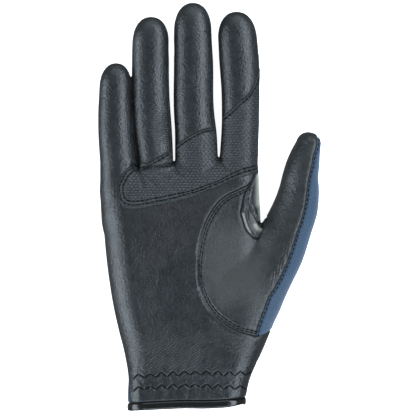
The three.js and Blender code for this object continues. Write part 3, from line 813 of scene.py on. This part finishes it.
def leather(name, dark, light, rough, dots=False):
    """Smooth glove leather: pebbled grain, fine creases, darker and duller along the seams, with painted
    shade in folds and between fingers and painted highlights.
    """
    look = Look(name)
    place = look.millimetres()
    pebbles = look.node("TexVoronoi", {"Vector": place, "Scale": 0.85, "Smoothness": 0.6},
                        feature="SMOOTH_F1")["Distance"]
    grain = look.math("MULTIPLY_ADD", pebbles, 0.6, look.noise(place, 0.5, 5, 0.65))
    colour = look.ramp(look.noise(place, 0.05, 3), 0.3, dark, 0.7, light)
    worn = look.level(grain, 0.55, 1.1, 0.0, 0.28)
    colour = look.mixed(worn, colour, tuple(2.3 * v for v in light))
    hollow = look.math("MULTIPLY", look.mark("hollow"), 0.6)
    colour = look.mixed(hollow, colour, HOLLOW_BROWN)
    height = look.math("MULTIPLY_ADD", look.noise(place, 2.4, 3, 0.6), 0.3, grain)
    for where, turn, scale in CREASES:
        turned = look.node("Mapping", {"Vector": place, "Rotation": (0, 0, math.radians(turn))})
        wave = look.node("TexWave", {"Vector": turned["Vector"], "Scale": scale, "Distortion": 3.0,
                                     "Detail": 2, "Detail Scale": 1.4}, bands_direction="Y")
        crease = look.math("MULTIPLY", wave["Fac"], look.mark(where))
        height = look.math("MULTIPLY_ADD", crease, 1.3, height)
    if dots:
        peaks = grip_dots(look)
        height = look.math("MULTIPLY_ADD", peaks, 1.5, height)
        # lighter dot tops: partly wear, partly painted highlight
        colour = look.mixed(look.math("MULTIPLY", peaks, 0.7), colour, DOT_WEAR_AND_HIGHLIGHT)
    # darker along the seams and where shade is painted, lighter where highlights are painted
    seam, painted_highlight = look.mark("seam"), look.mark("painted_highlight")
    colour = look.mixed(painted_highlight, look.mixed(seam, colour, SEAM_AND_SHADE_BLACK), PAINTED_HIGHLIGHT_GREY)
    dull = look.level(look.noise(place, 0.2, 2), 0.35, 0.65, *rough)
    dull = look.math("MULTIPLY_ADD", painted_highlight, 5.0, look.math("MULTIPLY_ADD", seam, 0.4, dull))
    return look.finish({"Base Color": colour, "Roughness": dull}, height, BUMP)


def fabric(name, dark, light):
    """Closely woven stretch cloth."""
    look = Look(name)
    threads = [look.math("SINE", look.math("MULTIPLY", part, TAU)) for part in look.pattern()]
    weave = look.math("MULTIPLY", *threads)
    height = look.math("MULTIPLY_ADD", weave, 0.24, look.noise(look.millimetres(), 1.6, 3, 0.6))
    # darker along the seams, partly painted shade
    seam = look.math("MULTIPLY", look.mark("seam"), 0.45)
    colour = look.mixed(seam, look.ramp(height, 0.15, dark, 0.85, light), FABRIC_SEAM_AND_SHADE)
    return look.finish({"Base Color": colour, "Roughness": 0.8, "Sheen Weight": 0.2,
                        "Sheen Roughness": 0.5}, height, BUMP)


def plain(name, colour, rough, depth, scale=1.1, shine=0.5):
    """One colour with a fine grain."""
    look = Look(name)
    fine = look.noise(look.millimetres(), scale, 3)
    dim = tuple(0.6 * c for c in colour)
    return look.finish({
        "Base Color": look.ramp(fine, 0.3, dim, 0.7, colour),
        "Roughness": look.level(fine, 0.3, 0.7, rough * 0.8, rough * 1.2),
        "Specular IOR Level": shine,
    }, fine, depth)


LEATHER = leather("leather", (0.0075, 0.0088, 0.0098), (0.0125, 0.0145, 0.0158), (0.27, 0.36))
GRIP = leather("grip_leather", (0.0085, 0.0098, 0.0105), (0.0125, 0.0145, 0.0155), (0.36, 0.46),
               dots=True)
BLUE = fabric("blue_fabric", (0.0068, 0.0215, 0.0455), (0.027, 0.064, 0.116))
GLOSSY = plain("glossy_binding", (0.006, 0.006, 0.0065), 0.2, 0.15, scale=0.35)
THREAD = plain("black_thread", (0.002, 0.002, 0.0025), 0.75, 0.05, shine=0.1)


# Pieces

def fill(layer, field, values, kind=np.float32):
    layer.foreach_set(field, np.asarray(values, dtype=kind).ravel())


def piece(name, vertices, faces, material, node=None, uv=None, marks=None):
    """Makes an object. Marks are what its material reads at each vertex."""
    mesh = bpy.data.meshes.new(name)
    mesh.vertices.add(len(vertices))
    fill(mesh.vertices, "co", vertices * MM)
    mesh.loops.add(faces.size)
    fill(mesh.loops, "vertex_index", faces, np.int32)
    mesh.polygons.add(len(faces))
    fill(mesh.polygons, "loop_start", np.arange(0, faces.size, faces.shape[1]), np.int32)
    fill(mesh.polygons, "use_smooth", np.ones(len(faces)), bool)
    mesh.update(calc_edges=True)
    mesh.validate()
    if uv is not None:
        layer = mesh.uv_layers.new(name="pattern")
        loops = np.empty(len(mesh.loops), dtype=np.int32)
        mesh.loops.foreach_get("vertex_index", loops)
        fill(layer.data, "uv", uv[loops])
    for mark, values in (marks or {}).items():
        fill(mesh.attributes.new(mark, "FLOAT", "POINT").data, "value", values)
    mesh.materials.append(material)
    made = bpy.data.objects.new(name, mesh)
    bpy.context.scene.collection.objects.link(made)
    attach(made, "root")
    if node:
        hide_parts(node)


COARSE = 2.4  # the cells of the inner surface away from a panel's rim


def thicken(outer, inner, faces):
    """A closed wall between an outer and an inner surface."""
    n = len(outer)
    edges = rim(faces)
    a, b = edges.T
    walls = np.concatenate([np.stack([b, a, a + n], axis=1), np.stack([b, a + n, b + n], axis=1)])
    keys = (np.floor(inner / COARSE).astype(np.int64) + 100) @ np.array([1, 1000, 1000000])
    on_rim = np.zeros(n, dtype=bool)
    on_rim[edges] = True
    keys[on_rim] = -1 - np.flatnonzero(on_rim)
    _, cell = np.unique(keys, return_inverse=True)
    size = np.bincount(cell)
    coarse = np.stack([np.bincount(cell, inner[:, k]) / size for k in range(3)], axis=1)
    back = cell[faces[:, ::-1]]
    back = back[(back != np.roll(back, 1, axis=1)).all(axis=1)]
    walls = np.where(walls >= n, n + cell[walls % n], walls)
    return np.concatenate([outer, coarse]), np.concatenate([faces, back + n, walls])


skin, skin_faces = mesh_form()
skin, skin_faces, value = cut(skin, skin_faces, skin[:, 1] - cuff_edge(skin[:, 0]))
skin, skin_faces = compact(skin, skin_faces[value[skin_faces].mean(axis=1) > 0])

patch_skin, patch_faces, _ = take(skin, skin_faces, patch_region)
patch_skin, patch_faces = compact(patch_skin, patch_faces)

panels = {}
left = skin_faces
for name, region in REGIONS:
    skin, panels[name], left = take(skin, left, region)
panels["back_panel"] = left


def inward(line, distance):
    """A line moved to its left in the picture plane."""
    tangent = unit(np.gradient(line, axis=0))
    return line + distance * np.stack([-tangent[:, 1], tangent[:, 0]], axis=1)


PATCH_OUTER_ROW = from_photo([
    (134.5, 166.5), (127, 172), (122, 180.5), (120, 187), (120.5, 193), (121.5, 199),
    (124.5, 202.6), (133, 205), (143, 204), (156, 201.5), (171, 198.5), (185, 194.7),
    (200, 190.6), (209, 187), (220, 182.5), (231, 177.4), (244, 172.2), (257.5, 168.8),
])
PATCH_INNER_ROW = from_photo([
    (136, 169), (129.5, 174.5), (125, 182), (123, 188), (123.5, 193), (124.8, 198),
    (128, 200.6), (135.5, 201.5), (146, 200), (161, 197), (176, 194), (192, 190.6),
    (203, 186.5), (216, 182), (226, 176.8), (241, 169.7), (257.5, 165.8),
])
# stitch rows of the patch, the thumb's base and the thumb's outer seam
UPPER_EDGES = [smooth_line(PATCH_UPPER[first:last]) for first, last in ((15, 20), (9, 15), (1, 9))]
PATCH_ROWS = [smooth_line(PATCH_OUTER_ROW), smooth_line(PATCH_INNER_ROW)]
PATCH_ROWS += [inward(line, 1.5) for line in UPPER_EDGES]
THUMB_ROWS = [inward(arc, -offset) for offset in (1.4, 2.65)]
BACK_ROWS = [inward(thumb_seam, 0.75)]

ZIGZAG_PITCH = 6.3
ZIGZAG_SIZE = 2.6
ZIGZAG_TURNS = 26
ZIGZAG_X = (-34, 0, 33)
ZIGZAGS_Y = [(-70.6, -68.3, -68.9), (-77.3, -75.4, -76.9)]  # of each row at those places
zigzags = []
for row in ZIGZAGS_Y:
    i = np.arange(ZIGZAG_TURNS)
    across = -38.0 + i * ZIGZAG_PITCH / 2
    uneven = 0.25 * np.sin(2.4 * i + row[0])
    along = np.interp(across, ZIGZAG_X, row) + uneven + np.where(i % 2, 1, -1) * ZIGZAG_SIZE / 2
    zigzags.append(np.stack([across, along], axis=1))

# Painted highlights on the web: a line, how light, and how wide
PAINTED_HIGHLIGHTS = [
    (from_photo([(259.6, 174), (259.8, 184), (260, 194), (260, 204)]), 0.55, 2.0),
    (from_photo([(259.6, 204), (259.8, 212), (260.5, 219)]), 0.3, 1.0),
    (from_photo([(251.5, 215), (253, 218.5), (254.5, 221.5)]), 0.18, 1.0),
    (from_photo([(255, 225), (257, 228), (260.5, 230)]), 0.4, 1.4),
    (from_photo([(242.8, 214), (244.8, 221), (247, 227), (250, 232)]), 0.36, 0.55),
]
PAINTED_HIGHLIGHTS = [(smooth_line(line), most, wide) for line, most, wide in PAINTED_HIGHLIGHTS]


def along_lines(p, lines, wide):
    """1 on any of the lines, fading out within about the given width."""
    x, y = p[:, 0], p[:, 1]
    total = np.zeros(len(p))
    for line in lines:
        close = close_to(x, y, line, 3 * wide)
        shade = bell(to_line(x[close], y[close], line) / wide)
        total[close] = np.maximum(total[close], shade)
    return total


SEAM_SHADE = 0.95
FOLD_SHADE = 0.85
PATCH_EDGE_SHADE = 0.9
WRIST_CREASES = 0.35
THUMB_CREASES = 0.3
BALL_HIGHLIGHT = 0.034
THUMB_HIGHLIGHT = 0.006
VALLEY_X = (-38.5, -24.0)  # painted shade on the deep side of the ring finger, down to VALLEY_Z
VALLEY_Z = (11.9, 9.8)
patch_top = smooth_line(PATCH_UPPER)


def marks_of(name, p, d, rows, top):
    """What the material reads at each vertex: seams with painted shade, wrinkles, the hollow palm,
    painted highlights on the web's folds and the thumb.
    """
    x, y, z = p.T
    # dark seams and stitch rows: dark thread and joints, partly painted shade in their grooves
    seam = SEAM_SHADE * np.maximum(bell(d / 0.55), rows)
    # painted shade in the folds
    for line, depth, wide in FOLDS:
        close = top & close_to(x, y, line, 3)
        fold = min(1.0, depth) * bell(to_line(x[close], y[close], line) / (0.6 * wide))
        seam[close] = np.maximum(seam[close], FOLD_SHADE * fold)
    # painted shade in the deep valley between the little and ring fingers
    between = (x > VALLEY_X[0]) & (x < VALLEY_X[1]) & (y > CROTCH_Y - 8) & (y < CROTCH_Y + 58)
    seam = np.maximum(seam, SEAM_SHADE * step(*VALLEY_Z, z) * between)
    wrinkle, thumb_wrinkle, wrist_wrinkle, hollow, painted_highlight = np.zeros((5, len(p)))
    if name == "palm_panel":
        # a dark line along the patch's upper edge: partly its glue edge, partly painted shadow
        edge = along_lines(p, [patch_top], 0.6) * top
        seam = np.maximum(seam, PATCH_EDGE_SHADE * edge)
        wrinkle = bell((x + 17) / 5, (y - 68) / 12) * top
        wrist_wrinkle = WRIST_CREASES * step(-34, -56, y) * step(-74, -66, y) * step(26, 0, x) * top
        hollow = bell((x + 4) / 26, (y - 2) / 46) * top
    if name == "thumb_panel":
        thumb_wrinkle = THUMB_CREASES * bell((x - 51 - 0.4 * (y + 10)) / 5, (y + 10) / 16) * top
        # painted highlight: a broad soft sheen on the thumb's ball and its upper part
        ball = bell(((x - 24) / 20) ** 2, ((y + 7) / 26) ** 2)
        painted_highlight = np.maximum(BALL_HIGHLIGHT * ball, THUMB_HIGHLIGHT * step(-30, 0, y)) * top
    if name == "thumb_gusset":
        # painted highlights on the web's folds
        for line, most, wide in PAINTED_HIGHLIGHTS:
            painted_highlight = np.maximum(painted_highlight, most * along_lines(p, [line], wide) * (z > 5))
        painted_highlight = painted_highlight * (1 - seam)
    return {"seam": np.clip(seam, 0, 1), "wrinkle": wrinkle, "thumb_wrinkle": thumb_wrinkle,
            "wrist_wrinkle": wrist_wrinkle, "hollow": hollow, "painted_highlight": painted_highlight}


GROOVES = (0.3, 0.85)  # extra edges beside a stitch row
EDGES = (0.45, 1.0)  # and beside a panel's border
UNCUT = 3.0


def grooved(vertices, faces, lines):
    """Adds edges beside each line, so that a narrow groove keeps its shape."""
    for line in lines:
        for beside in GROOVES:
            x, y, z = vertices.T
            close = close_to(x, y, line, 2) & (z > 6)
            value = np.full(len(vertices), UNCUT)
            value[close] = np.minimum(UNCUT, to_line(x[close], y[close], line) - beside)
            vertices, faces, _ = cut(vertices, faces, value)
    return vertices, faces


def edged(vertices, faces):
    """Adds edges beside the panel's border, for its rolled edge."""
    for beside in EDGES:
        d = near(vertices, border_places(vertices, faces), UNCUT)
        vertices, faces, _ = cut(vertices, faces, d - beside)
    return vertices, faces


def sewn_rows(p, lines, top, strength):
    """How much of a stitch row's shade each vertex has, and how far the thread pulls it in."""
    groove = along_lines(p, lines, 0.42)
    ridge = along_lines(p, lines, 1.3) - along_lines(p, lines, 0.75)
    shade = along_lines(p, lines, 0.36) * top
    return shade * strength, (0.45 * ridge - 0.5 * groove) * top * strength


THREAD_PITCH = 1.8
THUMB_RADIUS = 11.0
THUMB_RUN = 118.0


def weave_places(name, p):
    """Where the weave's threads lie on each vertex, in repeats."""
    x, y, z = p.T
    if name == "thumb_back":
        t, aside, _ = thumb_place(x, y)
        height = follow(thumb_keys, THUMB[:, 4], t) * THUMB_DEPTH
        across, along = THUMB_RADIUS * np.arctan2(z - height, aside), t * THUMB_RUN
    else:
        across, along = x + z * np.clip(x / 20, -1, 1), y
    return np.stack([across, along], axis=1) / THREAD_PITCH


def dressed(vertices, faces, lines, reach, strength=1.0):
    """A cut panel with its edges and stitch rows laid in, and what its relief needs."""
    vertices, faces = grooved(*edged(vertices, faces), lines)
    normals = normals_of(vertices)
    d = near(vertices, border_places(vertices, faces), reach)
    top = normals[:, 2] > 0.25
    rows, pull = sewn_rows(vertices, lines, top, strength)
    return vertices, faces, normals, d, top, rows, pull


SEWN = {"thumb_panel": THUMB_ROWS, "thumb_back": BACK_ROWS, "palm_panel": zigzags}
FLANK_CALM = 0.7  # how much less relief the steep sides have
INNER_FLOOR = 0.8
shown_vertices, shown_faces = [], []
count = 0
for name, faces in panels.items():
    vertices, faces, normals, d, top, rows, pull = dressed(
        *compact(skin, faces), SEWN.get(name, []), 5.0, 0.5 if name == "palm_panel" else 1.0)
    marks = marks_of(name, vertices, d, rows, top)
    flank = 1 - FLANK_CALM * bell(normals[:, 2] / 0.35)
    lift = relief(vertices, top) * flank * step(0.0, 0.6, vertices[:, 2]) + pull
    if name.startswith("fourchette"):
        lift = lift - 0.3 * bell(d / 0.8)
        # painted shade over the whole fourchette, which lies between two fingers
        marks["seam"] = np.maximum(marks["seam"], 0.5)
    else:
        lift = lift + rolled(d)
    outer = vertices + normals * lift[:, None]
    outer[:, 2] = np.maximum(outer[:, 2], 0.0)
    inner = vertices - normals * WALL
    inner[:, 2] = np.maximum(inner[:, 2], INNER_FLOOR)
    walls, wall_faces = thicken(outer, inner, faces)
    marks = {mark: np.pad(values, (0, len(walls) - len(values))) for mark, values in marks.items()}
    if name in ("thumb_back", "back_panel"):
        piece(name, walls, wall_faces, BLUE, name, weave_places(name, walls), marks)
    else:
        piece(name, walls, wall_faces, LEATHER, name, marks=marks)
    shown_vertices.append(outer)
    shown_faces.append(faces + count)
    count += len(outer)

# The grip patch, sewn over the palm's leather

PATCH_LIFT = 0.8
PATCH_SINK = 0.1
PATCH_ROUND = 0.8  # over this width its rim rises
DOT_PITCH = (2.15, 2.98)
patch_skin, patch_faces, normals, d, top, rows, pull = dressed(
    patch_skin, patch_faces, PATCH_ROWS, 6.0)
x, y, z = patch_skin.T
rise = np.sqrt(np.maximum(0, 1 - (1 - np.minimum(d / PATCH_ROUND, 1)) ** 2))
thick = PATCH_LIFT * (1 - 0.5 * step(32, 38, x))
lift = relief(patch_skin, top) + pull + thick * rise - PATCH_SINK
outer = patch_skin + normals * lift[:, None]
across = x + 0.9 * np.maximum(0, 15.0 - z) * (x > 30)
uv = np.stack([across, y], axis=1) / DOT_PITCH
marks = marks_of("grip_patch", patch_skin, d, rows, top)
piece("grip_patch", outer, patch_faces, GRIP, "grip_patch", uv=uv, marks=marks)
shown_vertices.append(outer)
shown_faces.append(patch_faces + count)
shown = BVHTree.FromPolygons([Vector(v) for v in np.concatenate(shown_vertices)],
                             np.concatenate(shown_faces).tolist())


# Thread laid on the surface

DOWN = Vector((0, 0, -1))
RAY_START = 60.0


def down_onto(line):
    """Where a line seen from above lies on the glove, with the surface's normals."""
    places, facing = [], []
    for x, y in line:
        hit, normal, _, _ = shown.ray_cast(Vector((x, y, RAY_START)), DOWN)
        if hit is not None:
            places.append(hit)
            facing.append(normal if normal.dot(DOWN) < 0 else -normal)
    return np.array(places), np.array(facing)


def around(count):
    """The angles of some even steps round a circle."""
    return TAU * np.arange(count) / count


def at_lengths(line, places):
    """The points of a line that lie as far along it as asked."""
    return np.stack([np.interp(places, run_length(line), line[:, a]) for a in (0, 1)], axis=1)


STITCH_SIDES = 6
STITCH_RINGS = 7
MOST_STRETCH = 1.8  # a stitch that would drop down a step by more is left out
stitch_faces = []
for a in range((STITCH_RINGS - 1) * STITCH_SIDES):
    b = a - STITCH_SIDES + 1 if a % STITCH_SIDES == STITCH_SIDES - 1 else a + 1
    stitch_faces += [(a, b, b + STITCH_SIDES), (a, b + STITCH_SIDES, a + STITCH_SIDES)]
for first, turn in ((0, -1), ((STITCH_RINGS - 1) * STITCH_SIDES, 1)):
    for j in range(first + 1, first + STITCH_SIDES - 1):
        stitch_faces.append((first, j, j + 1)[::turn])
stitch_faces = np.array(stitch_faces)


def stitch_between(a, b, thick, proud):
    """One stitch laid on the surface: a thin rounded bar whose ends dip into it."""
    t = np.linspace(0, 1, STITCH_RINGS)
    places, facing = down_onto(a + (b - a) * t[:, None])
    if len(places) < STITCH_RINGS:
        return None
    if np.linalg.norm(places[-1] - places[0]) > MOST_STRETCH * np.linalg.norm(b - a):
        return None
    along = unit(np.gradient(places, axis=0))
    side = unit(np.cross(along, facing))
    up = np.cross(side, along)
    bulge = np.sin(math.pi * (0.06 + 0.88 * t)) ** 0.4
    centre = places + up * (proud + thick / 2 - (thick + proud + 0.1) * (1 - bulge))[:, None]
    turn = around(STITCH_SIDES)[:, None]
    ring = side[:, None] * np.cos(turn) + up[:, None] * np.sin(turn)
    return (centre[:, None] + (thick / 2 * bulge)[:, None, None] * ring).reshape(-1, 3)


SPOT_GAP = 0.2


def stitches_on(lines, stitch=2.0, gap=0.6):
    """The ends of each stitch along some lines."""
    run, keep = round((stitch + gap) / SPOT_GAP), round(stitch / SPOT_GAP)
    for line in lines:
        spots = at_lengths(line, np.arange(0, run_length(line)[-1], SPOT_GAP))
        for i in range(0, len(spots) - keep, run):
            yield spots[i], spots[i + keep]


def sew(name, ends, thick=0.5, proud=-0.12):
    made = [stitch_between(a, b, thick, proud) for a, b in ends]
    made = [stitch for stitch in made if stitch is not None]
    starts = STITCH_RINGS * STITCH_SIDES * np.arange(len(made))
    faces = (stitch_faces + starts[:, None, None]).reshape(-1, 3)
    piece(name, np.concatenate(made), faces, THREAD)


legs = [ends for row in zigzags for ends in zip(row[:-1], row[1:])]
sew("patch_stitches", stitches_on(PATCH_ROWS))
sew("thumb_stitches", stitches_on(THUMB_ROWS))
sew("thumb_back_stitches", stitches_on(BACK_ROWS, stitch=1.5, gap=1.1), proud=0.0)
sew("cuff_zigzag", legs, thick=0.6, proud=-0.05)

# The cuff's binding: a rounded band that closes over the edge of the leather

BINDING_THICK = 2.0
BINDING_STEPS = 240
BINDING_SECTION = 14
BINDING_OUT = 0.15 - WALL / 2  # its middle's distance from the leather's outer face
BINDING_UNEVEN = 0.12


def bowed(value, power):
    return np.sign(value) * np.abs(value) ** power


left_x, right_x, half, middle = [float(v[0]) for v in palm_section(np.array([CUFF_Y + 2.0]))]
corner = PALM_CORNER * half
flat = (right_x - left_x) / 2 - corner
turns = np.linspace(-math.pi / 2, math.pi * 1.5, 181)
side = np.where(turns < math.pi / 2, 1.0, -1.0)
loop = np.stack([
    (left_x + right_x) / 2 + side * flat + corner * bowed(np.cos(turns), 2 / PALM_POWER),
    np.maximum(0.0, middle + half * bowed(np.sin(turns), 2 / PALM_POWER)),
], axis=1)
loop = at_lengths(loop, np.linspace(0, run_length(loop)[-1], BINDING_STEPS, endpoint=False))
tangent = unit(np.roll(loop, -1, axis=0) - np.roll(loop, 1, axis=0))
outward = np.stack([tangent[:, 1], -tangent[:, 0]], axis=1)
uneven = waves(11, 30, 9)(np.pad(loop, ((0, 0), (0, 1))))
px, pz, nx, nz = np.hstack([loop, outward]).T[:, :, None]
uneven = uneven[:, None]
turn = around(BINDING_SECTION)
out = BINDING_THICK / 2 * bowed(np.cos(turn), 0.8) + BINDING_OUT + BINDING_UNEVEN * uneven
slim = 1 - 0.4 * step(18, 33, px) * (pz > middle)
tall = BINDING_HEIGHT / 2 * bowed(np.sin(turn), 0.75) * slim
edge_y = cuff_edge(px) - BINDING_HEIGHT * 0.5 + 0.2 * uneven
vertices = np.stack([px + nx * out, edge_y + tall, np.maximum(0.0, pz + nz * out)], axis=2)
number = np.arange(out.size).reshape(out.shape)
faces = np.stack([number, np.roll(number, -1, axis=1), np.roll(number, (-1, -1), axis=(0, 1)),
                  np.roll(number, -1, axis=0)], axis=2)
piece("cuff_binding", vertices.reshape(-1, 3), faces.reshape(-1, 4), GLOSSY,
      "cuff_binding")

# Camera, light and floor

def add(name, data):
    made = bpy.data.objects.new(name, data)
    bpy.context.scene.collection.objects.link(made)
    return made


CAMERA_PLACE = (11.2, 22.4, 1500.0)
VIEW_WIDTH = 235.2  # what the picture spans at VIEW_HEIGHT over the floor
VIEW_HEIGHT = 12.0
SENSOR = 36.0
camera = add("camera", bpy.data.cameras.new("camera"))
camera.location = Vector(CAMERA_PLACE) * MM
camera.data.sensor_width = SENSOR
camera.data.lens = SENSOR * (CAMERA_PLACE[2] - VIEW_HEIGHT) / VIEW_WIDTH
camera.data.clip_end = 20.0
bpy.context.scene.camera = camera

LIT = Vector((0.011, 0.03, 0.01))  # what the lights look at, in metres


def area_light(name, place, size, power, colour):
    light = bpy.data.lights.new(name, "AREA")
    light.shape = "RECTANGLE"
    light.size, light.size_y = size
    light.energy = power
    light.color = colour
    made = add(name, light)
    made.location = place
    made.rotation_euler = (LIT - Vector(place)).to_track_quat("-Z", "Y").to_euler()


STRIP_DISTANCE = 0.95
STRIP_COLOUR = (0.84, 0.97, 1.08)


def strip(name, angle, along, width, length, power):
    """A long softbox beside the glove, its angle measured from straight above."""
    angle = math.radians(angle)
    place = (STRIP_DISTANCE * math.sin(angle), along, STRIP_DISTANCE * math.cos(angle))
    area_light(name, place, (length, width), power, STRIP_COLOUR)


strip("left_strip", angle=-72, along=-0.25, width=0.6, length=1.2, power=12.7)
strip("right_strip", angle=44, along=0.05, width=0.46, length=1.8, power=16)
area_light("front", (0.0, -0.9, 0.7), size=(0.9, 0.3), power=6.0, colour=(0.9, 0.98, 1.05))
area_light("far", (0.0, 1.1, 0.75), size=(1.3, 0.9), power=6.0, colour=(0.86, 0.98, 1.06))
world = bpy.data.worlds.new("studio")
world.use_nodes = True
background = world.node_tree.nodes["Background"].inputs
background["Color"].default_value = (0.95, 0.98, 1, 1)
background["Strength"].default_value = 0.2
bpy.context.scene.world = world
bpy.context.scene.view_settings.view_transform = "Standard"

FLOOR_HEIGHT = -0.0002
corners = [(x, y, FLOOR_HEIGHT) for x, y in ((-3, -3), (3, -3), (3, 3), (-3, 3))]
floor_mesh = bpy.data.meshes.new("floor")
floor_mesh.from_pydata(corners, [], [(0, 1, 2, 3)])
floor_mesh.materials.append(Look("floor").finish({
    "Base Color": (0.9, 0.9, 0.9), "Roughness": 0.9,
    "Emission Color": (1, 1, 1), "Emission Strength": 0.85}))
floor = add("floor", floor_mesh)
floor.visible_glossy = False
